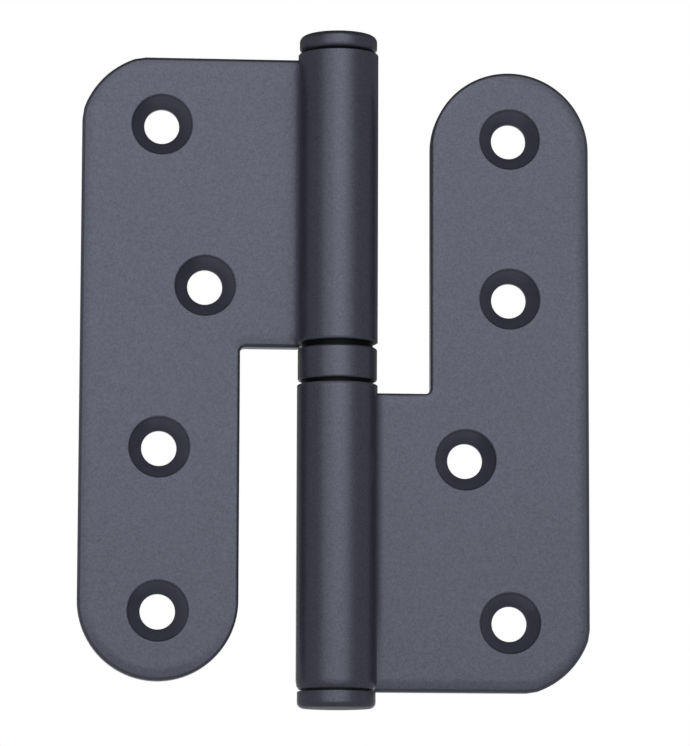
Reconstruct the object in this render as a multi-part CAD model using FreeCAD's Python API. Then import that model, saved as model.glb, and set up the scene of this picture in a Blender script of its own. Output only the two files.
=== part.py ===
import FreeCAD, Part
import math
import os

# Lift-off hinge: two rolled leaves on one pin, with a ball bearing collar between the knuckles.
# Millimetres. +Z runs up the pin axis, +X to the lower leaf, +Y to the back of the leaves.
# The origin is on the pin axis, half way up the hinge.

# Leaves
leaf_length = 100.0
leaf_reach = 40.75
leaf_thickness = 3.0
leaf_corner_radius = 13.3
leaf_corner_overrun = 0.5
leaf_edge_break = 0.45

# Knuckles, rolled from the leaves, and the full-width half beside each
upper_knuckle_length = 46.5
lower_knuckle_length = 48.25
upper_plate_length = 46.8
lower_plate_length = 47.6
knuckle_seam_gap = 0.3
knuckle_lap = 0.6
notch_width = 8.85
notch_corner_radius = 0.8

# Countersunk screw holes, counted from the knuckle's end, one of them nearer to the pin
screw_count = 4
staggered_screw = 1
screw_stagger = 7.1
screw_end_distance = 11.0
screw_hole_diameter = 5.6
countersink_diameter = 9.8
countersink_angle = 90.0

# Pin
pin_diameter = 6.7
pin_clearance = 0.05
pin_nose = 1.6
pin_foot_chamfer = 0.6
pin_end_gap = 0.5
pin_shoulder_depth = 1.0
press_interference = 0.01

# End caps, each standing on a short neck
cap_height = 2.8
cap_neck_height = 0.2
cap_overhang = 0.6
cap_inset = 0.2
cap_outer_break = 0.65
cap_inner_break = 0.3
cap_spigot_length = 6.0

# Bearing collar: a sleeve over two hubbed races, with a full ring of balls between them
bearing_height = 6.75
shell_inset = 0.1
shell_wall = 0.5
shell_top_gap = 0.9
shell_bottom_gap = 0.6
shell_edge_break = 0.3
race_clearance = 0.08
race_hub_wall = 2.2
ball_diameter = 2.2
ball_clearance = 0.03
ball_spacing = 0.1

# A broken edge takes up at most this share of its wall, and places this close are the same
largest_break = 0.4
tiny = 1e-6

# Sizes that follow
pin_radius = pin_diameter / 2
bore_radius = pin_radius + pin_clearance
knuckle_radius = bore_radius + leaf_thickness
press_radius = bore_radius + press_interference
edge_break = min(leaf_edge_break, largest_break * leaf_thickness)
plate_start = knuckle_radius - knuckle_lap
notch_edge = knuckle_radius + notch_width
tail_radius = (leaf_reach - notch_edge) / 2
screw_line = leaf_reach - tail_radius
screw_pitch = (leaf_length - 2 * screw_end_distance) / (screw_count - 1)

stack_height = lower_knuckle_length + bearing_height + upper_knuckle_length
stack_bottom = -stack_height / 2
bearing_bottom = stack_bottom + lower_knuckle_length
stack_top = stack_height / 2

shell_radius = knuckle_radius - shell_inset
shell_bore = shell_radius - shell_wall
race_bore = pin_radius + race_clearance
hub_radius = race_bore + race_hub_wall
race_height = (bearing_height - ball_diameter) / 2 - ball_clearance
ball_circle = (pin_radius + shell_bore) / 2
ball_count = int(2 * math.pi * ball_circle / (ball_diameter + ball_spacing))

up = FreeCAD.Vector(0, 0, 1)
back = FreeCAD.Vector(0, 1, 0)
origin = FreeCAD.Vector(0, 0, 0)


def line(start, end):
    return Part.LineSegment(start, end).toShape()


def arc(start, middle, end):
    return Part.Arc(start, middle, end).toShape()


def on_circle(radius, degrees, z):
    angle = math.radians(degrees)
    return FreeCAD.Vector(radius * math.cos(angle), radius * math.sin(angle), z)


def ring(outer, inner, z, height):
    base = FreeCAD.Vector(0, 0, z)
    return Part.makeCylinder(outer, height, base).cut(Part.makeCylinder(inner, height, base))


def rim_edges(shape, radius, z):
    # The circular edges of one radius at one height
    found = []
    for edge in shape.Edges:
        is_circle = isinstance(edge.Curve, Part.Circle)
        if is_circle and abs(edge.Curve.Radius - radius) < tiny and abs(edge.Curve.Center.z - z) < tiny:
            found.append(edge)
    return found


def rolled_knuckle(length):
    # The sheet runs in along the back, round the pin, and stops just short of its own front face
    z = stack_bottom
    seam = math.degrees(math.asin((bore_radius - knuckle_seam_gap) / knuckle_radius))
    roll_middle = (90 + 360 + seam) / 2
    tab_back = FreeCAD.Vector(plate_start, knuckle_radius, z)
    tab_front = FreeCAD.Vector(plate_start, bore_radius, z)
    outer_start = on_circle(knuckle_radius, 90, z)
    outer_end = on_circle(knuckle_radius, seam, z)
    inner_start = on_circle(bore_radius, 90, z)
    inner_end = on_circle(bore_radius, seam, z)
    seam_middle = (outer_end + inner_end) / 2
    profile = Part.Wire([
        line(tab_back, outer_start),
        arc(outer_start, on_circle(knuckle_radius, roll_middle, z), outer_end),
        line(outer_end, inner_end),
        arc(inner_end, on_circle(bore_radius, roll_middle, z), inner_start),
        line(inner_start, tab_front),
        line(tab_front, tab_back),
    ])
    knuckle = Part.Face(profile).extrude(up * length)
    broken = []
    for edge in knuckle.Edges:
        middle = edge.valueAt((edge.FirstParameter + edge.LastParameter) / 2)
        at_end = min(abs(middle.z - z), abs(middle.z - z - length)) < tiny
        at_tab = abs(middle.x - plate_start) < tiny
        at_seam = (middle - seam_middle).Length < tiny or (middle - seam_middle - up * length).Length < tiny
        if at_end and not at_tab and not at_seam:
            broken.append(edge)
    return knuckle.makeChamfer(edge_break, broken)


def flat_plate(plate_length):
    # A full-width half beside the knuckle and a narrower round-ended tail past the notch.
    # The corner's circle stands a little proud of the two edges, which it meets at a slight angle.
    y = bore_radius
    bottom = stack_bottom
    top = bottom + leaf_length
    notch = bottom + plate_length
    centre = leaf_corner_radius - leaf_corner_overrun
    corner = centre - math.sqrt(leaf_corner_radius ** 2 - centre ** 2)
    inner = min(notch_corner_radius, largest_break * (notch_edge - plate_start))
    slant = math.sqrt(0.5)

    def at(x, z):
        return FreeCAD.Vector(x, y, z)

    corner_sag = centre - leaf_corner_radius * slant
    corner_middle = at(leaf_reach - corner_sag, bottom + corner_sag)
    inner_middle = at(notch_edge - inner * (1 - slant), notch + inner * (1 - slant))
    outline = Part.Wire([
        line(at(plate_start, bottom), at(leaf_reach - corner, bottom)),
        arc(at(leaf_reach - corner, bottom), corner_middle, at(leaf_reach, bottom + corner)),
        line(at(leaf_reach, bottom + corner), at(leaf_reach, top - tail_radius)),
        arc(at(leaf_reach, top - tail_radius), at(screw_line, top), at(notch_edge, top - tail_radius)),
        line(at(notch_edge, top - tail_radius), at(notch_edge, notch + inner)),
        arc(at(notch_edge, notch + inner), inner_middle, at(notch_edge - inner, notch)),
        line(at(notch_edge - inner, notch), at(plate_start, notch)),
        line(at(plate_start, notch), at(plate_start, bottom)),
    ])
    plate = Part.Face(outline).extrude(back * leaf_thickness)
    broken = []
    for edge in plate.Edges:
        middle = edge.valueAt((edge.FirstParameter + edge.LastParameter) / 2)
        on_face = min(abs(middle.y - y), abs(middle.y - y - leaf_thickness)) < tiny
        if on_face and abs(middle.x - plate_start) > tiny:
            broken.append(edge)
    return plate.makeChamfer(edge_break, broken)


def screw_hole(x, z):
    hole_radius = screw_hole_diameter / 2
    sink_radius = countersink_diameter / 2
    depth = (sink_radius - hole_radius) / math.tan(math.radians(countersink_angle / 2))
    front = FreeCAD.Vector(x, bore_radius, z)
    sink = Part.makeCone(sink_radius, hole_radius, depth, front, back)
    return sink.fuse(Part.makeCylinder(hole_radius, leaf_thickness, front, back))


def leaf(knuckle_length, plate_length):
    # Built as the lower leaf, with its knuckle at the bottom and its plate towards +X
    shape = flat_plate(plate_length).fuse(rolled_knuckle(knuckle_length)).removeSplitter()
    for index in range(screw_count):
        x = screw_line - (screw_stagger if index == staggered_screw else 0)
        z = stack_bottom + screw_end_distance + index * screw_pitch
        shape = shape.cut(screw_hole(x, z))
    return shape.Solids[0]


def turned_over(shape):
    # The upper leaf is the same stamping, turned half round about the front-to-back line
    copy = shape.copy()
    copy.rotate(origin, back, 180)
    return copy


def hinge_pin():
    # Pressed into the lower knuckle, slimmer above its shoulder, with a tapered nose
    foot = stack_bottom + cap_spigot_length + pin_end_gap
    shoulder = bearing_bottom - pin_shoulder_depth
    tip = stack_top - cap_spigot_length - pin_end_gap
    chamfer = pin_foot_chamfer
    corners = [
        (0, foot),
        (press_radius - chamfer, foot),
        (press_radius, foot + chamfer),
        (press_radius, shoulder),
        (pin_radius, shoulder),
        (pin_radius, tip - pin_nose),
        (pin_radius - pin_nose / 2, tip),
        (0, tip),
        (0, foot),
    ]
    profile = Part.makePolygon([FreeCAD.Vector(radius, 0, z) for radius, z in corners])
    return Part.Face(profile).revolve(origin, up, 360)


def end_cap():
    # Top cap: a flange, a neck that seats on the knuckle's end, and a spigot pressed into its bore
    cap_radius = knuckle_radius - cap_inset
    flange_bottom = stack_top + cap_neck_height
    flange = Part.makeCylinder(cap_radius, cap_height, up * flange_bottom)
    flange = flange.makeChamfer(cap_outer_break, rim_edges(flange, cap_radius, flange_bottom + cap_height))
    flange = flange.makeChamfer(cap_inner_break, rim_edges(flange, cap_radius, flange_bottom))
    neck = Part.makeCylinder(cap_radius - cap_overhang, cap_neck_height, up * stack_top)
    spigot = Part.makeCylinder(press_radius, cap_spigot_length, up * (stack_top - cap_spigot_length))
    return flange.fuse([neck, spigot]).removeSplitter()


def bearing_shell():
    bottom = bearing_bottom + shell_bottom_gap
    height = bearing_height - shell_bottom_gap - shell_top_gap
    sleeve = ring(shell_radius, shell_bore, bottom, height)
    rims = rim_edges(sleeve, shell_radius, bottom) + rim_edges(sleeve, shell_radius, bottom + height)
    return sleeve.makeChamfer(shell_edge_break, rims)


def lower_race():
    # Its hub stands on the lower knuckle, and its flange runs free in the shell
    hub = ring(hub_radius, race_bore, bearing_bottom, race_height)
    flange_bottom = bearing_bottom + shell_bottom_gap
    flange = ring(shell_bore - race_clearance, race_bore, flange_bottom, race_height - shell_bottom_gap)
    return flange.fuse(hub).removeSplitter()


def upper_race():
    # Its flange is pressed into the shell, and the upper knuckle rests on its hub
    bottom = bearing_bottom + bearing_height - race_height
    hub = ring(hub_radius, race_bore, bottom, race_height)
    flange = ring(shell_bore + press_interference, race_bore, bottom, race_height - shell_top_gap)
    return flange.fuse(hub).removeSplitter()


def bearing_ball(index):
    level = bearing_bottom + bearing_height / 2
    return Part.makeSphere(ball_diameter / 2, on_circle(ball_circle, 360 * index / ball_count, level))


nodes = {
    "lower_leaf": leaf(lower_knuckle_length, lower_plate_length),
    "upper_leaf": turned_over(leaf(upper_knuckle_length, upper_plate_length)),
    "hinge_pin": hinge_pin(),
    "top_cap": end_cap(),
    "bottom_cap": turned_over(end_cap()),
    "bearing_shell": bearing_shell(),
    "bearing_lower_race": lower_race(),
    "bearing_upper_race": upper_race(),
}
for index in range(ball_count):
    nodes["bearing_ball_" + str(index + 1)] = bearing_ball(index)

os.makedirs("parts", exist_ok=True)
for name, shape in nodes.items():
    shape.exportStep("parts/" + name + ".step")
    print(name, "valid" if shape.isValid() else "INVALID", len(shape.Solids), round(shape.Volume, 3))
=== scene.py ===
import math
import bmesh
import bpy
from mathutils import Matrix, Vector


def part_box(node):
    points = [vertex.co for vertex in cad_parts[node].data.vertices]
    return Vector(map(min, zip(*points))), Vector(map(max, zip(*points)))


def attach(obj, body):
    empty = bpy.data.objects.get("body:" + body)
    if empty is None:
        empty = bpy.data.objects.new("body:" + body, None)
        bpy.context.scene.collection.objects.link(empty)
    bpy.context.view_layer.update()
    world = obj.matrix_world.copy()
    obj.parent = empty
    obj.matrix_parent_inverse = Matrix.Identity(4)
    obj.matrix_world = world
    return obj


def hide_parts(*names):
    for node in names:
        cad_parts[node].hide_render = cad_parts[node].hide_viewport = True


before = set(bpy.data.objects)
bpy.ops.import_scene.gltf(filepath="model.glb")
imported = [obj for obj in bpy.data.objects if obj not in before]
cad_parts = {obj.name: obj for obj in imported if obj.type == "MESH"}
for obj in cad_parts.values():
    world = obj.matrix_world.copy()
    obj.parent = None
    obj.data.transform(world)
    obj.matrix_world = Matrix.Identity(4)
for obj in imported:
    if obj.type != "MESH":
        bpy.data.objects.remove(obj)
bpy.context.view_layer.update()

# Lift-off hinge: two rolled leaves on one pin, a bearing collar between the knuckles and a cap at each end.
mm = 0.001


# Shader maths: a socket that adds Math nodes when it is used in an expression

class Signal:
    def __init__(self, nodes, socket):
        self.nodes = nodes
        self.socket = socket

    def __add__(self, other):
        return self.nodes.compute("ADD", self, other)

    def __radd__(self, other):
        return self.nodes.compute("ADD", other, self)

    def __sub__(self, other):
        return self.nodes.compute("SUBTRACT", self, other)

    def __rsub__(self, other):
        return self.nodes.compute("SUBTRACT", other, self)

    def __mul__(self, other):
        return self.nodes.compute("MULTIPLY", self, other)

    def __rmul__(self, other):
        return self.nodes.compute("MULTIPLY", other, self)


class NodeSet:
    def __init__(self, tree):
        self.tree = tree
        tree.nodes.clear()

    def add(self, kind, settings=None, values=None, output=0):
        node = self.tree.nodes.new(kind)
        for name, value in (settings or {}).items():
            setattr(node, name, value)
        for name, value in (values or {}).items():
            if isinstance(value, Signal):
                self.tree.links.new(value.socket, node.inputs[name])
            else:
                node.inputs[name].default_value = value
        return Signal(self, node.outputs[output]) if node.outputs else None

    def place(self):
        return self.add("ShaderNodeTexCoord", None, None, "Object")

    def along(self, place, axis):
        return self.add("ShaderNodeSeparateXYZ", None, {"Vector": place}, axis)

    def compute(self, operation, *values):
        return self.add("ShaderNodeMath", {"operation": operation}, dict(enumerate(values)))

    def noise(self, place, size, detail, roughness):
        return self.add("ShaderNodeTexNoise", None, {
            "Vector": place, "Scale": 1 / size, "Detail": detail, "Roughness": roughness}, "Fac")

    def rise(self, value, low, high, start=0.0, end=1.0):
        return self.add("ShaderNodeMapRange", {"interpolation_type": "SMOOTHSTEP"}, {
            "Value": value, "From Min": low, "From Max": high, "To Min": start, "To Max": end})

    def bump(self, height, depth, strength):
        return self.add("ShaderNodeBump", None, {
            "Height": height, "Distance": depth, "Strength": strength}, "Normal")

    def ramp(self, share, positions, colours):
        tone = self.add("ShaderNodeValToRGB", None, {"Fac": share})
        for stop, position, colour in zip(tone.socket.node.color_ramp.elements, positions, colours):
            stop.position = position
            stop.color = (*colour, 1)
        return tone

    def blend(self, share, first, second):
        return self.add("ShaderNodeMix", {"data_type": "RGBA"}, {"Factor": share, 6: first, 7: second}, 2)

    def grey(self, tone):
        return self.add("ShaderNodeCombineColor", None, {"Red": tone, "Green": tone, "Blue": tone})


def newMaterial(name):
    material = bpy.data.materials.new(name)
    material.use_nodes = True
    return material, NodeSet(material.node_tree)


def finishMaterial(nodes, values):
    shader = nodes.add("ShaderNodeBsdfPrincipled", None, values)
    nodes.add("ShaderNodeOutputMaterial", None, {"Surface": shader})


# Satin graphite powder coat: metal flake in a fine orange peel

coatLook = {
    "dark": (0.086, 0.089, 0.121),
    "light": (0.145, 0.152, 0.201),
    "rampStops": (0.3, 0.7),
    "toneShares": {"grain": 0.78, "mottle": 0.16, "clouds": 0.06},
    "metallic": 0.65,
    "roughness": 0.30,
    "roughnessSpread": 0.08,
    "endRoughness": 0.16,
    "endLevels": (53.45 * mm, 53.6 * mm),
    "rimRoughness": 0.30,
    "rimReach": 0.38 * mm,
    "rimRadius": 6.5 * mm,
    "sizes": {"grain": 0.30 * mm, "mottle": 1.4 * mm, "clouds": 30 * mm},
    "details": {"grain": 3, "mottle": 2, "clouds": 1},
    "noiseRoughness": 0.6,
    "peelShares": {"grain": 0.7, "mottle": 0.3},
    "peelDepth": 0.012 * mm,
    "peelStrength": 0.4,
    "creviceLevel": 50.85 * mm,
    "creviceHeight": 0.14 * mm,
    "creviceRadius": 5.8 * mm,
    # Painted shade in the crevice under each cap
    "creviceShadeTone": (0.008, 0.008, 0.009, 1),
    # Painted shade on the lower leaf beside its roll: where it lies and how dark
    "creaseFront": (3.4 * mm, 0.2 * mm),
    "creaseFoot": (-51 * mm, -36 * mm),
    "creaseTop": -3 * mm,
    "creaseStart": 6.35 * mm,
    "creaseEnd": 8.0 * mm,
    "creaseShadeTone": (0.022, 0.023, 0.031, 1),
    # Painted light on the cut edges and countersinks: its tone and share
    "cutLightTone": (0.20, 0.208, 0.265, 1),
    "cutLightShare": 0.5,
    "cutReach": 7.0 * mm,
    "cutDepths": (3.6 * mm, 3.75 * mm, 6.2 * mm, 6.35 * mm),
}


def makeGraphiteCoat():
    look = coatLook
    material, nodes = newMaterial("graphiteCoat")
    place = nodes.place()
    compute, rise, blend = nodes.compute, nodes.rise, nodes.blend
    x, y, z = [nodes.along(place, axis) for axis in "XYZ"]
    height = compute("ABSOLUTE", z)
    across = nodes.add("ShaderNodeVectorMath", {"operation": "MULTIPLY"}, {0: place, 1: (1, 1, 0)})
    radius = nodes.add("ShaderNodeVectorMath", {"operation": "LENGTH"}, {0: across}, "Value")
    noises = {
        name: nodes.noise(place, size, look["details"][name], look["noiseRoughness"])
        for name, size in look["sizes"].items()}

    def mixed(shares):
        first, *others = [share * noises[name] for name, share in shares.items()]
        return sum(others, first)

    colour = nodes.ramp(mixed(look["toneShares"]), look["rampStops"], (look["dark"], look["light"]))

    # Painted light: a paler tone on the cut edges and countersinks of the sheet, lifting them as more light
    # would
    frontStart, frontEnd, backStart, backEnd = look["cutDepths"]
    inSheet = rise(y, frontStart, frontEnd) * (1 - rise(y, backStart, backEnd))
    beyondKnuckle = compute("GREATER_THAN", compute("ABSOLUTE", x), look["cutReach"])
    colour = blend(look["cutLightShare"] * inSheet * beyondKnuckle, colour, look["cutLightTone"])

    # Painted shade: dark in the crevice under each cap, and where the end of the lower roll meets its leaf
    atNeck = compute("COMPARE", height, look["creviceLevel"], look["creviceHeight"])
    inCreviceShade = atNeck * compute("LESS_THAN", radius, look["creviceRadius"])
    colour = blend(inCreviceShade, colour, look["creviceShadeTone"])
    # Painted shade: a soft dark band on the lower leaf beside its roll, standing in for the roll's shadow
    onFront = compute("COMPARE", y, *look["creaseFront"])
    besideRoll = rise(z, *look["creaseFoot"]) * compute("LESS_THAN", z, look["creaseTop"])
    onLowerLeaf = compute("GREATER_THAN", x, 0.0)
    inCreaseShade = (1 - rise(x, look["creaseStart"], look["creaseEnd"])) * onFront * besideRoll * onLowerLeaf
    colour = blend(inCreaseShade, colour, look["creaseShadeTone"])

    # Matt on the ends of the caps and on the knuckles' rims beside the bearing
    atEnd = rise(height, *look["endLevels"])
    lowerRim, upperRim = [
        compute("COMPARE", z, level, look["rimReach"]) for level in
        (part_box("bearing_lower_race")[0].z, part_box("bearing_upper_race")[1].z)]
    atRim = (lowerRim + upperRim) * compute("LESS_THAN", radius, look["rimRadius"])
    matt = look["endRoughness"] * atEnd + look["rimRoughness"] * atRim
    finishMaterial(nodes, {
        "Base Color": colour,
        "Metallic": look["metallic"],
        "Roughness": look["roughness"] + look["roughnessSpread"] * (noises["mottle"] - 0.5) + matt,
        "Normal": nodes.bump(mixed(look["peelShares"]), look["peelDepth"], look["peelStrength"]),
    })
    return material


# Ground steel: fine rings round the pin's axis under a thin film of oil

steelLook = {
    "dark": (0.44, 0.45, 0.47),
    "light": (0.62, 0.62, 0.63),
    "rampStops": (0.3, 0.7),
    "ringShare": 0.6,
    "smearShare": 0.4,
    "roughness": 0.24,
    "roughnessSpread": 0.16,
    "ringSize": 0.12 * mm,
    "smearSize": 6 * mm,
    "ringDetail": 2,
    "smearDetail": 3,
    "noiseRoughness": 0.5,
    "ringStretch": 0.02,
    "ringDepth": 0.004 * mm,
    "ringStrength": 0.3,
}
# Near-black steel for the bearing races: painted shade, standing in for the shadow in the gaps beside the
# collar
gapShadeLook = {
    **steelLook,
    "dark": (0.007, 0.007, 0.008),
    "light": (0.014, 0.014, 0.015),
    "roughness": 0.45,
}


def makeSteel(name, look, ringed):
    material, nodes = newMaterial(name)
    place = nodes.place()
    stretch = look["ringStretch"] if ringed else 1
    stretched = nodes.add("ShaderNodeMapping", None, {"Vector": place, "Scale": (stretch, stretch, 1)})
    rings = nodes.noise(stretched, look["ringSize"], look["ringDetail"], look["noiseRoughness"])
    smears = nodes.noise(place, look["smearSize"], look["smearDetail"], look["noiseRoughness"])
    tone = look["ringShare"] * rings + look["smearShare"] * smears
    finishMaterial(nodes, {
        "Base Color": nodes.ramp(tone, look["rampStops"], (look["dark"], look["light"])),
        "Metallic": 1.0,
        "Roughness": look["roughness"] + look["roughnessSpread"] * (smears - 0.5),
        "Normal": nodes.bump(rings, look["ringDepth"], look["ringStrength"]),
    })
    return material


graphiteCoat = makeGraphiteCoat()
turnedSteel = makeSteel("turnedSteel", steelLook, True)
polishedSteel = makeSteel("polishedSteel", steelLook, False)
gapShadeSteel = makeSteel("gapShadeSteel", gapShadeLook, True)
print("materials: graphite coat, turned, polished and blackened steel")


# Working by hand: one active piece, edit mode, and picking by place, with four widths of tolerance

editLook = {
    "finest": 0.001 * mm,
    "slack": 0.002 * mm,
    "coarse": 0.01 * mm,
    "joinReach": 0.02 * mm,
    "roundProfile": 0.5,
    "flatAngle": 1,
    "smoothAngle": 32,
    "normalWeight": 100,
}


def startEdit(name):
    piece = bpy.context.object
    piece.name = name
    piece.data.name = name
    bpy.ops.object.transform_apply(location=True, rotation=True, scale=True)
    bpy.ops.object.mode_set(mode="EDIT")
    return piece


def clearSelection():
    bpy.ops.object.select_all(action="DESELECT")


def makeActive(piece):
    clearSelection()
    piece.select_set(True)
    bpy.context.view_layer.objects.active = piece


def addCylinder(name, sides, radius, low, high):
    clearSelection()
    bpy.ops.mesh.primitive_cylinder_add(
        vertices=sides, radius=radius, depth=high - low, location=(0, 0, (high + low) / 2))
    return startEdit(name)


def middleOf(item):
    return sum((corner.co for corner in item.verts), Vector()) / len(item.verts)


def pick(kind, test):
    bpy.ops.mesh.select_mode(type=kind)
    bpy.ops.mesh.select_all(action="DESELECT")
    mesh = bmesh.from_edit_mesh(bpy.context.object.data)
    items = {"VERT": mesh.verts, "EDGE": mesh.edges, "FACE": mesh.faces}[kind]
    for item in [item for item in items if test(item)]:
        item.select_set(True)
    bmesh.update_edit_mesh(bpy.context.object.data)


def pickAll():
    bpy.ops.mesh.select_all(action="SELECT")


def near(value, target, slack=editLook["slack"]):
    return abs(value - target) < slack


def allNear(item, axis, target):
    return all(near(corner.co[axis], target) for corner in item.verts)


def radiusAt(point):
    return math.hypot(point.x, point.y)


def moveBy(x, y, z):
    bpy.ops.transform.translate(value=(x, y, z))


def extrudeBy(x, y, z):
    bpy.ops.mesh.extrude_region_move(TRANSFORM_OT_translate={"value": (x, y, z)})


def scaleBy(x, y, z, centre):
    bpy.ops.transform.resize(value=(x, y, z), center_override=centre)


def cutAcross(place, normal):
    bpy.ops.mesh.bisect(plane_co=place, plane_no=normal)


def roundEdges(width, steps, kind="EDGES"):
    bpy.ops.mesh.bevel(
        offset=width, segments=steps, profile=editLook["roundProfile"], affect=kind, clamp_overlap=False)


def roundCorner(x, z, radius, steps):
    pick("VERT", lambda corner: near(corner.co.x, x) and near(corner.co.z, z))
    roundEdges(radius, steps, "VERTICES")


def joinFlat():
    pickAll()
    bpy.ops.mesh.remove_doubles(threshold=editLook["joinReach"])
    bpy.ops.mesh.dissolve_limited(angle_limit=math.radians(editLook["flatAngle"]))


def cleanMesh():
    pickAll()
    bpy.ops.mesh.remove_doubles(threshold=editLook["finest"])
    bpy.ops.mesh.normals_make_consistent(inside=False)


def turnOver():
    # Half a turn about the front-to-back line takes a lower piece to its place above
    pickAll()
    bpy.ops.transform.rotate(value=math.pi, orient_axis="Y", center_override=(0, 0, 0))


def applyModifier(piece, kind, settings):
    modifier = piece.modifiers.new(kind, kind)
    for name, value in settings.items():
        setattr(modifier, name, value)
    bpy.ops.object.modifier_apply(modifier=modifier.name)


def finishPiece(piece, material, body, nodes):
    bpy.ops.object.mode_set(mode="OBJECT")
    makeActive(piece)
    bpy.ops.object.shade_smooth_by_angle(angle=math.radians(editLook["smoothAngle"]))
    applyModifier(piece, "WEIGHTED_NORMAL", {"keep_sharp": True, "weight": editLook["normalWeight"]})
    piece.data.materials.clear()
    piece.data.materials.append(material)
    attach(piece, body)
    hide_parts(*nodes)
    piece.data.update()
    print(piece.name + ":", len(piece.data.polygons), "faces")


# Leaves, each modelled as the lower one

leafLook = {
    "thickness": 3.0 * mm,
    "cornerRadius": 13.3 * mm,
    "cornerOverrun": 0.5 * mm,
    "cornerEase": 0.9 * mm,
    "cornerSteps": 32,
    "tailSteps": 24,
    "knuckleLap": 0.6 * mm,
    "notchWidth": 8.85 * mm,
    "plateLength": {"lower_leaf": 47.6 * mm, "upper_leaf": 46.8 * mm},
    "notchCorner": 0.8 * mm,
    "notchSteps": 6,
    "seamGap": 0.3 * mm,
    "spinSteps": 90,
    "rollOverWidth": 2.2 * mm,
    "rollOverDepth": 0.34 * mm,
    "rollOverSteps": 4,
    "rollOverMargin": 0.1 * mm,
    "notchRollOver": 0.4,
    "fadeBands": 12,
    "sharpAngle": 40,
    "bendMargin": 1 * mm,
    "frontRound": 0.46 * mm,
    "frontSteps": 3,
    "backRound": 0.20 * mm,
    "backSteps": 5,
    "endTuck": [(1.5 * mm, 0), (0.6 * mm, 0.12 * mm), (0, 0.55 * mm)],
}
screwLook = {
    "count": 4,
    "staggered": 1,
    "stagger": 7.1 * mm,
    "endDistance": 11.0 * mm,
    "holeRadius": 2.8 * mm,
    "sinkRadius": 4.9 * mm,
    "rimRound": 0.16 * mm,
    "lipRound": 0.12 * mm,
    "roundSteps": 3,
    "overcut": 1 * mm,
    "flatNormal": 0.9999,
    "wideFace": 30 * mm * mm,
    "sides": 72,
}

lowerLow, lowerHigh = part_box("lower_leaf")
leafReach = lowerHigh.x
knuckleRadius = -lowerLow.y
leafBottom = lowerLow.z
leafTop = lowerHigh.z
backY = lowerHigh.y
frontY = backY - leafLook["thickness"]
boreRadius = frontY
plateStart = knuckleRadius - leafLook["knuckleLap"]
notchEdge = knuckleRadius + leafLook["notchWidth"]
tailRadius = (leafReach - notchEdge) / 2
screwLine = leafReach - tailRadius
sinkDepth = screwLook["sinkRadius"] - screwLook["holeRadius"]
knuckleTops = {
    "lower_leaf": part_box("bearing_lower_race")[0].z,
    "upper_leaf": -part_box("bearing_upper_race")[1].z,
}


def drawPlate(node):
    # The front face: the strip that will be rolled, the half beside it, the tail past the notch
    look = leafLook
    knuckleTop = knuckleTops[node]
    notch = leafBottom + look["plateLength"][node]
    base = min(notch, knuckleTop)
    height = base - leafBottom
    clearSelection()
    bpy.ops.mesh.primitive_plane_add(
        size=1, location=(leafReach / 2, frontY, leafBottom + height / 2), rotation=(math.pi / 2, 0, 0))
    bpy.context.object.scale = (leafReach, height, 1)
    piece = startEdit(node + ".coated")
    for x in (plateStart, notchEdge):
        pickAll()
        cutAcross((x, 0, 0), (1, 0, 0))
    strips = [
        (plateStart, leafReach, base, notch),
        (notchEdge, leafReach, notch, leafTop),
        (0, plateStart, base, knuckleTop),
    ]
    for left, right, start, end in strips:
        if end > start:
            pick("EDGE", lambda edge: allNear(edge, 2, start) and left < middleOf(edge).x < right)
            extrudeBy(0, 0, end - start)
    joinFlat()
    roundCorner(leafReach, leafTop, tailRadius, look["tailSteps"])
    roundCorner(notchEdge, leafTop, tailRadius, look["tailSteps"])
    roundCorner(notchEdge, notch, look["notchCorner"], look["notchSteps"])
    drawOuterCorner()
    return piece


def drawOuterCorner():
    # Its circle stands a little proud of the two edges, and a short flat eases its angle with each
    look = leafLook
    radius, ease = look["cornerRadius"], look["cornerEase"]
    inward = radius - look["cornerOverrun"]
    lean = math.acos(inward / radius)
    span = inward - radius * math.sin(lean) + ease
    start = lean + ease / radius
    along = span - inward + radius * math.sin(start)
    rise = inward - radius * math.cos(start)
    roundCorner(leafReach, leafBottom, span, 1)
    pick("VERT", lambda corner: near(corner.co.x, leafReach - span) and near(corner.co.z, leafBottom))
    extrudeBy(along, 0, rise)
    bpy.ops.mesh.spin(
        steps=look["cornerSteps"], angle=math.pi / 2 - 2 * start, axis=(0, 1, 0),
        center=(leafReach - inward, frontY, leafBottom + inward))
    endX, endZ = leafReach - rise, leafBottom + span - along
    pick("VERT", lambda corner: near(corner.co.x, endX) and near(corner.co.z, endZ))
    extrudeBy(rise, 0, along)
    pickAll()
    bpy.ops.mesh.remove_doubles(threshold=editLook["joinReach"])
    pick("EDGE", lambda edge: edge.is_wire or edge.calc_length() > span and near(
        middleOf(edge).x - leafReach, leafBottom - middleOf(edge).z))
    bpy.ops.mesh.edge_face_add()
    joinFlat()


def flattenRollOver(node):
    # The punched notch has less of it, and it fades out round the tail's end
    look = leafLook
    notch = leafBottom + look["plateLength"][node]
    reach = look["rollOverWidth"] + look["rollOverMargin"]
    tailStart = leafTop - tailRadius
    tailMargin = tailStart + look["rollOverMargin"]
    frontLimit = frontY + look["rollOverDepth"] + editLook["finest"]
    bands = look["fadeBands"]

    def keep(share, test):
        def onFront(place):
            return place.y < frontLimit and place.x > plateStart / 2

        pick("VERT", lambda corner: onFront(corner.co) and test(corner.co))
        scaleBy(1, share, 1, (0, frontY, 0))

    keep(look["notchRollOver"], lambda place: abs(place.z - notch) < reach and place.x < notchEdge + reach)
    keep(0, lambda place: place.x < notchEdge + reach and notch + reach < place.z < tailMargin)
    for band in range(bands):
        def inBand(place):
            turn = math.degrees(math.atan2(place.z - tailStart, screwLine - place.x))
            return place.z > tailMargin and band <= turn / 90 * bands < band + 1

        keep((band + 0.5) / bands, inBand)


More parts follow.
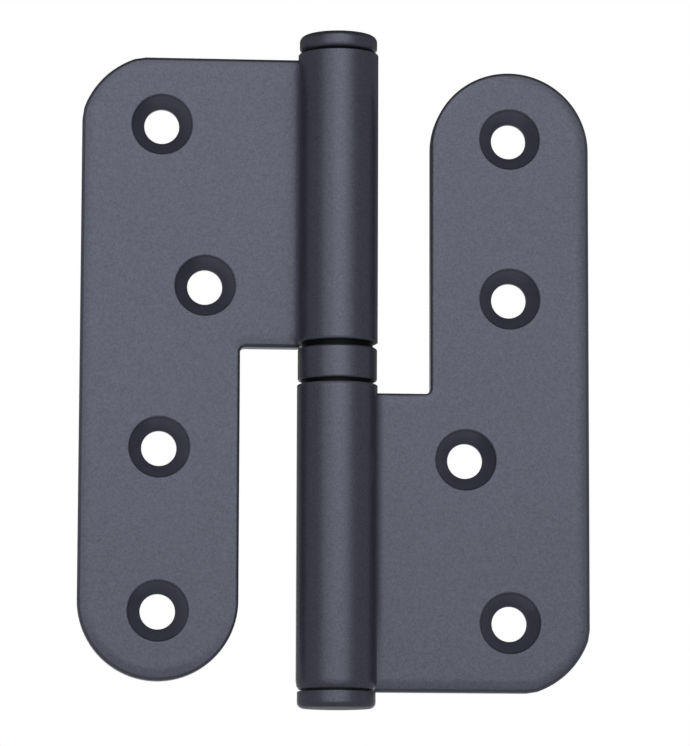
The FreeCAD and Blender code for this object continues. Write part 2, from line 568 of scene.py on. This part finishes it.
def rollLeaf(node):
    # Thickness, the stamped roll-over round the front, then the sheet spun round the pin
    look = leafLook
    steps, width, depth = look["rollOverSteps"], look["rollOverWidth"], look["rollOverDepth"]
    moveBy(0, depth, 0)
    extrudeBy(0, look["thickness"] - depth, 0)
    cleanMesh()
    pick("FACE", lambda face: allNear(face, 0, 0))
    bpy.ops.mesh.delete(type="ONLY_FACE")
    pick("FACE", lambda face: allNear(face, 1, frontY + depth))
    for step in range(steps, 0, -1):
        drop = depth * (2 * step - 1) / steps ** 2
        bpy.ops.mesh.inset(thickness=width / steps, depth=drop, use_boundary=False)
    flattenRollOver(node)
    pick("EDGE", lambda edge: edge.is_boundary and allNear(edge, 0, 0))
    seam = math.asin((boreRadius - look["seamGap"]) / knuckleRadius)
    bpy.ops.mesh.spin(
        steps=look["spinSteps"], angle=math.radians(270) + seam, center=(0, 0, 0), axis=(0, 0, -1))
    bpy.ops.mesh.edge_face_add()
    cleanMesh()
    return seam


def tuckKnuckleEnd():
    # The lower knuckle's far end is drawn in a little where the pin was pressed home
    def outside(corner):
        inLeaf = corner.co.x > -editLook["coarse"] and corner.co.y > frontY
        return near(radiusAt(corner.co), knuckleRadius) and not inLeaf

    for height, _ in leafLook["endTuck"]:
        if height > 0:
            pick("FACE", lambda face: sum(outside(corner) for corner in face.verts) > 2)
            cutAcross((0, 0, leafBottom + height), (0, 0, 1))
    for height, depth in leafLook["endTuck"]:
        pick("VERT", lambda corner: near(corner.co.z, leafBottom + height) and outside(corner))
        shrink = 1 - depth / knuckleRadius
        scaleBy(shrink, shrink, 1, (0, 0, 0))


def roundLeaf(seam):
    # Softer edges on the back of the sheet, which is the outside of the knuckle
    look = leafLook
    middleY = (frontY + backY) / 2

    def onSeam(corner):
        return near(corner.co.x * math.sin(seam) - corner.co.y * math.cos(seam), 0) and corner.co.x > 0

    def isSharp(edge):
        sharp = edge.is_manifold and edge.calc_face_angle() > math.radians(look["sharpAngle"])
        return sharp and not all(onSeam(corner) for corner in edge.verts)

    def onBack(edge):
        place = middleOf(edge)
        inLeaf = place.x > 0 and place.y > boreRadius - look["bendMargin"]
        return (place.y if inLeaf else radiusAt(place)) > middleY

    pick("EDGE", lambda edge: isSharp(edge) and onBack(edge))
    roundEdges(look["backRound"], look["backSteps"])
    pick("EDGE", lambda edge: isSharp(edge) and not onBack(edge))
    roundEdges(look["frontRound"], look["frontSteps"])


def screwPlaces():
    look = screwLook
    pitch = (leafTop - leafBottom - 2 * look["endDistance"]) / (look["count"] - 1)
    for index in range(look["count"]):
        x = screwLine - (look["stagger"] if index == look["staggered"] else 0)
        yield x, leafBottom + look["endDistance"] + index * pitch


def makeScrewCutter(x, z):
    # A drill's shape: straight shank, then a cone that opens past the front face
    look = screwLook
    over = look["overcut"]
    shank = backY + over - (frontY + sinkDepth)
    clearSelection()
    bpy.ops.mesh.primitive_cylinder_add(
        vertices=look["sides"], radius=look["holeRadius"], depth=shank,
        location=(x, backY + over - shank / 2, z), rotation=(math.pi / 2, 0, 0))
    cutter = startEdit("screwCutter")
    pick("FACE", lambda face: allNear(face, 1, frontY + sinkDepth))
    extrudeBy(0, -(sinkDepth + over), 0)
    growth = (look["sinkRadius"] + over) / look["holeRadius"]
    scaleBy(growth, 1, growth, (x, frontY - over, z))
    cleanMesh()
    bpy.ops.object.mode_set(mode="OBJECT")
    return cutter


def drillLeaf(piece):
    # Cuts through the holes' centres first, so that no face has a hole inside it
    look = screwLook

    def isBroad(face):
        return abs(face.normal.y) > look["flatNormal"] and face.calc_area() > look["wideFace"]

    for _, z in screwPlaces():
        pick("FACE", isBroad)
        cutAcross((0, 0, z), (0, 0, 1))
    bpy.ops.object.mode_set(mode="OBJECT")
    for x, z in screwPlaces():
        cutter = makeScrewCutter(x, z)
        makeActive(piece)
        applyModifier(piece, "BOOLEAN", {"operation": "DIFFERENCE", "object": cutter, "solver": "EXACT"})
        bpy.data.objects.remove(cutter)
    bpy.ops.object.mode_set(mode="EDIT")

    def fromScrew(corner):
        return min(math.hypot(corner.co.x - x, corner.co.z - z) for x, z in screwPlaces())

    # The slivers that the cuts leave are merged before the rims are rounded
    pick("VERT", lambda corner: fromScrew(corner) < look["sinkRadius"] + look["rimRound"])
    bpy.ops.mesh.remove_doubles(threshold=editLook["coarse"])
    rings = [
        (frontY, look["sinkRadius"], look["rimRound"]),
        (frontY + sinkDepth, look["holeRadius"], look["lipRound"]),
        (backY, look["holeRadius"], look["rimRound"]),
    ]
    for y, radius, width in rings:
        def onRing(corner):
            return near(corner.co.y, y) and near(fromScrew(corner), radius, editLook["coarse"])

        pick("EDGE", lambda edge: all(onRing(corner) for corner in edge.verts))
        roundEdges(width, look["roundSteps"])


def makeLeaf(node, body):
    piece = drawPlate(node)
    seam = rollLeaf(node)
    if node == "lower_leaf":
        tuckKnuckleEnd()
    roundLeaf(seam)
    drillLeaf(piece)
    if node == "upper_leaf":
        turnOver()
    finishPiece(piece, graphiteCoat, body, [node])


# End caps: a rounded and slightly domed flange on a short neck, with a spigot in the bore

capLook = {
    "neckHeight": 0.2 * mm,
    "neckMargin": 0.05 * mm,
    "overhang": 0.6 * mm,
    "outerRound": 0.95 * mm,
    "outerSteps": 7,
    "innerRound": {"bottom_cap": 0.18 * mm, "top_cap": 0.9 * mm},
    "innerSteps": 6,
    "domeHeight": {"bottom_cap": 0.15 * mm, "top_cap": 0},
    "domeShare": 0.95,
    "domeSteps": 6,
    "sides": 96,
}


def makeCap(node, body):
    # Modelled as the bottom cap
    look = capLook
    low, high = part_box("bottom_cap")
    seat = leafBottom - look["neckHeight"]
    dome = look["domeHeight"][node]
    rim = low.z + dome
    radius = high.x
    innerRound, steps = look["innerRound"][node], look["domeSteps"]
    neckRadius = radius - max(look["overhang"], innerRound + look["neckMargin"])
    domeWidth = (radius - look["outerRound"]) * look["domeShare"]
    piece = addCylinder(node + ".coated", look["sides"], radius, rim, seat)
    pick("EDGE", lambda edge: allNear(edge, 2, rim))
    roundEdges(look["outerRound"], look["outerSteps"])
    pick("FACE", lambda face: allNear(face, 2, rim))
    for step in range(steps, 0, -1):
        bpy.ops.mesh.inset(thickness=domeWidth / steps, depth=dome * (2 * step - 1) / steps ** 2)
    pick("EDGE", lambda edge: allNear(edge, 2, seat))
    roundEdges(innerRound, look["innerSteps"])
    pick("FACE", lambda face: allNear(face, 2, seat))
    bpy.ops.mesh.inset(thickness=radius - innerRound - neckRadius)
    extrudeBy(0, 0, leafBottom - seat)
    bpy.ops.mesh.inset(thickness=neckRadius - boreRadius)
    extrudeBy(0, 0, high.z - leafBottom)
    cleanMesh()
    if node == "top_cap":
        turnOver()
    finishPiece(piece, graphiteCoat, body, [node])


# Bearing shell: a thin sleeve with soft rims

shellLook = {
    "wall": 0.5 * mm,
    "rimRound": 0.38 * mm,
    "rimSteps": 5,
    "sides": 96,
}


def makeShell():
    look = shellLook
    low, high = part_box("bearing_shell")
    piece = addCylinder("bearing_shell.coated", look["sides"], high.x, low.z, high.z)

    def atEnd(item):
        return allNear(item, 2, low.z) or allNear(item, 2, high.z)

    def outside(edge):
        return all(near(radiusAt(corner.co), high.x) for corner in edge.verts)

    pick("FACE", atEnd)
    bpy.ops.mesh.inset(thickness=look["wall"], use_individual=True)
    bpy.ops.mesh.delete(type="ONLY_FACE")
    pick("EDGE", lambda edge: edge.is_boundary)
    bpy.ops.mesh.bridge_edge_loops()
    pick("EDGE", lambda edge: atEnd(edge) and outside(edge))
    roundEdges(look["rimRound"], look["rimSteps"])
    cleanMesh()
    finishPiece(piece, graphiteCoat, "bearing_half", ["bearing_shell"])


# Pin: pressed in below its shoulder, with a tapered nose

pinLook = {
    "radius": 3.35 * mm,
    "noseLength": 1.6 * mm,
    "noseTaper": 0.8 * mm,
    "shoulderDepth": 1.0 * mm,
    "shoulderSlope": 0.0875 * mm,
    "edgeRound": 0.35 * mm,
    "edgeSteps": 3,
    "sides": 80,
}


def makePin():
    look = pinLook
    low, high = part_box("hinge_pin")
    shoulder = knuckleTops["lower_leaf"] - look["shoulderDepth"]
    noseStart = high.z - look["noseLength"]
    piece = addCylinder("hinge_pin.ground", look["sides"], look["radius"], low.z, high.z)
    for level in (noseStart, shoulder, shoulder - look["shoulderSlope"]):
        pickAll()
        cutAcross((0, 0, level), (0, 0, 1))
    pick("VERT", lambda corner: near(corner.co.z, high.z))
    shrink = 1 - look["noseTaper"] / look["radius"]
    scaleBy(shrink, shrink, 1, (0, 0, high.z))
    pick("VERT", lambda corner: corner.co.z < shoulder - editLook["coarse"])
    growth = high.x / look["radius"]
    scaleBy(growth, growth, 1, (0, 0, 0))
    pick("EDGE", lambda edge: any(allNear(edge, 2, level) for level in (low.z, noseStart, high.z)))
    roundEdges(look["edgeRound"], look["edgeSteps"])
    cleanMesh()
    finishPiece(piece, turnedSteel, "lower_half", ["hinge_pin"])


makeLeaf("lower_leaf", "lower_half")
makeLeaf("upper_leaf", "upper_half")
makeCap("bottom_cap", "lower_half")
makeCap("top_cap", "upper_half")
makeShell()
makePin()

# The races get the near-black steel, painted shade for the gaps beside the collar; the balls stay polished
for name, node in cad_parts.items():
    if not node.hide_render:
        node.data.materials.clear()
        node.data.materials.append(polishedSteel if "ball" in name else gapShadeSteel)
print("bearing races and balls: steel")


# Studio: pale floor, white surround, two soft lights, and a dark tube that only reflections see

studioLook = {
    "floorDepth": 0.95,
    "floorSize": 40.0,
    "floorColour": (0.86, 0.86, 0.86, 1),
    "floorRoughness": 0.9,
    "floorSpecular": 0.1,
    "floorGlow": 0.30,
    "ambient": 0.30,
    "tubeRadius": 0.40,
    "tubeFront": 0.70,
    "tubeFade": 0.45,
    "tubeBack": 0.90,
    "tubeSides": 64,
    "tubeTilt": 12,
    "tubeTurn": -5,
    "tubeTone": 0.29,
    "overheadTone": 0.06,
    "overheadLevels": (0.2, 0.95),
    "keyPlace": (0.0, -1.25, 0.48),
    "keySize": (0.85, 0.9),
    "keyPower": 1.15,
    "topPlace": (0.0, -0.25, 1.3),
    "topSize": (1.4, 1.4),
    "topPower": 0.5,
}


def seenDirectly(nodes):
    # One for rays from the camera, a reflection or a transmission, and nought for other rays
    camera, glossy, transmission = [
        nodes.add("ShaderNodeLightPath", None, None, kind)
        for kind in ("Is Camera Ray", "Is Glossy Ray", "Is Transmission Ray")]
    return nodes.compute("MINIMUM", camera + glossy + transmission, 1.0)


def makeFloor():
    look = studioLook
    clearSelection()
    bpy.ops.mesh.primitive_plane_add(size=look["floorSize"], location=(0, 0, -look["floorDepth"]))
    floor = bpy.context.object
    floor.name = "floor"
    material, nodes = newMaterial("paleFloor")
    finishMaterial(nodes, {
        "Base Color": look["floorColour"],
        "Roughness": look["floorRoughness"],
        "Specular IOR Level": look["floorSpecular"],
        "Emission Color": nodes.grey(seenDirectly(nodes) * look["floorGlow"]),
        "Emission Strength": 1.0,
    })
    floor.data.materials.append(material)


def makeTube():
    # Open to the front and to the back, as black card stood round the set, and pale near the front
    look = studioLook
    radius, front, back = look["tubeRadius"], look["tubeFront"], look["tubeBack"]
    clearSelection()
    bpy.ops.mesh.primitive_cylinder_add(
        vertices=look["tubeSides"], radius=radius, depth=front + back, end_fill_type="NOTHING",
        location=(0, (back - front) / 2, 0), rotation=(math.pi / 2, 0, 0))
    tube = bpy.context.object
    tube.name = "darkTube"
    bpy.ops.object.transform_apply(location=True, rotation=True, scale=True)
    tube.rotation_euler = (-math.radians(look["tubeTilt"]), 0, math.radians(look["tubeTurn"]))
    material, nodes = newMaterial("blackCard")
    place = nodes.place()
    low, high = [share * radius for share in look["overheadLevels"]]
    card = nodes.rise(nodes.along(place, "Z"), low, high, look["tubeTone"], look["overheadTone"])
    share = nodes.rise(nodes.along(place, "Y"), -front, look["tubeFade"] - front)
    glow = nodes.add("ShaderNodeEmission", None, {"Color": nodes.grey(1 - share * (1 - card))})
    nodes.add("ShaderNodeOutputMaterial", None, {"Surface": glow})
    tube.data.materials.append(material)
    tube.visible_camera = False
    tube.visible_diffuse = False
    tube.visible_shadow = False
    tube.visible_transmission = False


def makeLight(name, place, size, power):
    data = bpy.data.lights.new(name, "AREA")
    data.shape = "RECTANGLE"
    data.size, data.size_y = size
    data.energy = power
    light = bpy.data.objects.new(name, data)
    bpy.context.scene.collection.objects.link(light)
    light.location = place
    light.rotation_euler = (-Vector(place)).to_track_quat("-Z", "Y").to_euler()
    light.visible_camera = False


def makeWorld():
    world = bpy.data.worlds.new("whiteSurround")
    bpy.context.scene.world = world
    world.use_nodes = True
    nodes = NodeSet(world.node_tree)
    strength = seenDirectly(nodes) * (1 - studioLook["ambient"]) + studioLook["ambient"]
    surround = nodes.add("ShaderNodeBackground", None, {"Color": (1, 1, 1, 1), "Strength": strength})
    nodes.add("ShaderNodeOutputWorld", None, {"Surface": surround})


# Camera: a long lens a little below and to the left, as the photograph was taken

cameraLook = {
    "azimuth": -4.38,
    "elevation": -7.5,
    "roll": 0.206,
    "distance": 0.65,
    "pixelsPerMetre": 6306.0,
    "originPixel": (337.36, 369.85),
    "photoSize": (690, 746),
    "sensor": 36.0,
    "clip": (0.01, 50),
}


def makeCamera():
    look = cameraLook
    width, height = look["photoSize"]
    originX, originY = look["originPixel"]
    azimuth, elevation = math.radians(look["azimuth"]), math.radians(look["elevation"])
    level = math.cos(elevation)
    away = Vector((math.sin(azimuth) * level, -math.cos(azimuth) * level, math.sin(elevation)))
    data = bpy.data.cameras.new("camera")
    data.sensor_width = look["sensor"]
    data.lens = look["pixelsPerMetre"] * look["distance"] / height * look["sensor"]
    data.shift_x = (width / 2 - originX) / height
    data.shift_y = (originY - height / 2) / height
    data.clip_start, data.clip_end = look["clip"]
    camera = bpy.data.objects.new("camera", data)
    bpy.context.scene.collection.objects.link(camera)
    camera.location = away * look["distance"]
    aim = (-away).to_track_quat("-Z", "Y").to_matrix().to_4x4()
    roll = Matrix.Rotation(math.radians(look["roll"]), 4, "Z")
    camera.rotation_euler = (aim @ roll).to_euler()
    bpy.context.scene.camera = camera


makeFloor()
makeTube()
makeLight("frontSoftbox", studioLook["keyPlace"], studioLook["keySize"], studioLook["keyPower"])
makeLight("topSoftbox", studioLook["topPlace"], studioLook["topSize"], studioLook["topPower"])
makeWorld()
makeCamera()
bpy.context.scene.view_settings.view_transform = "Standard"
print("studio: floor, tube, two softboxes, camera")
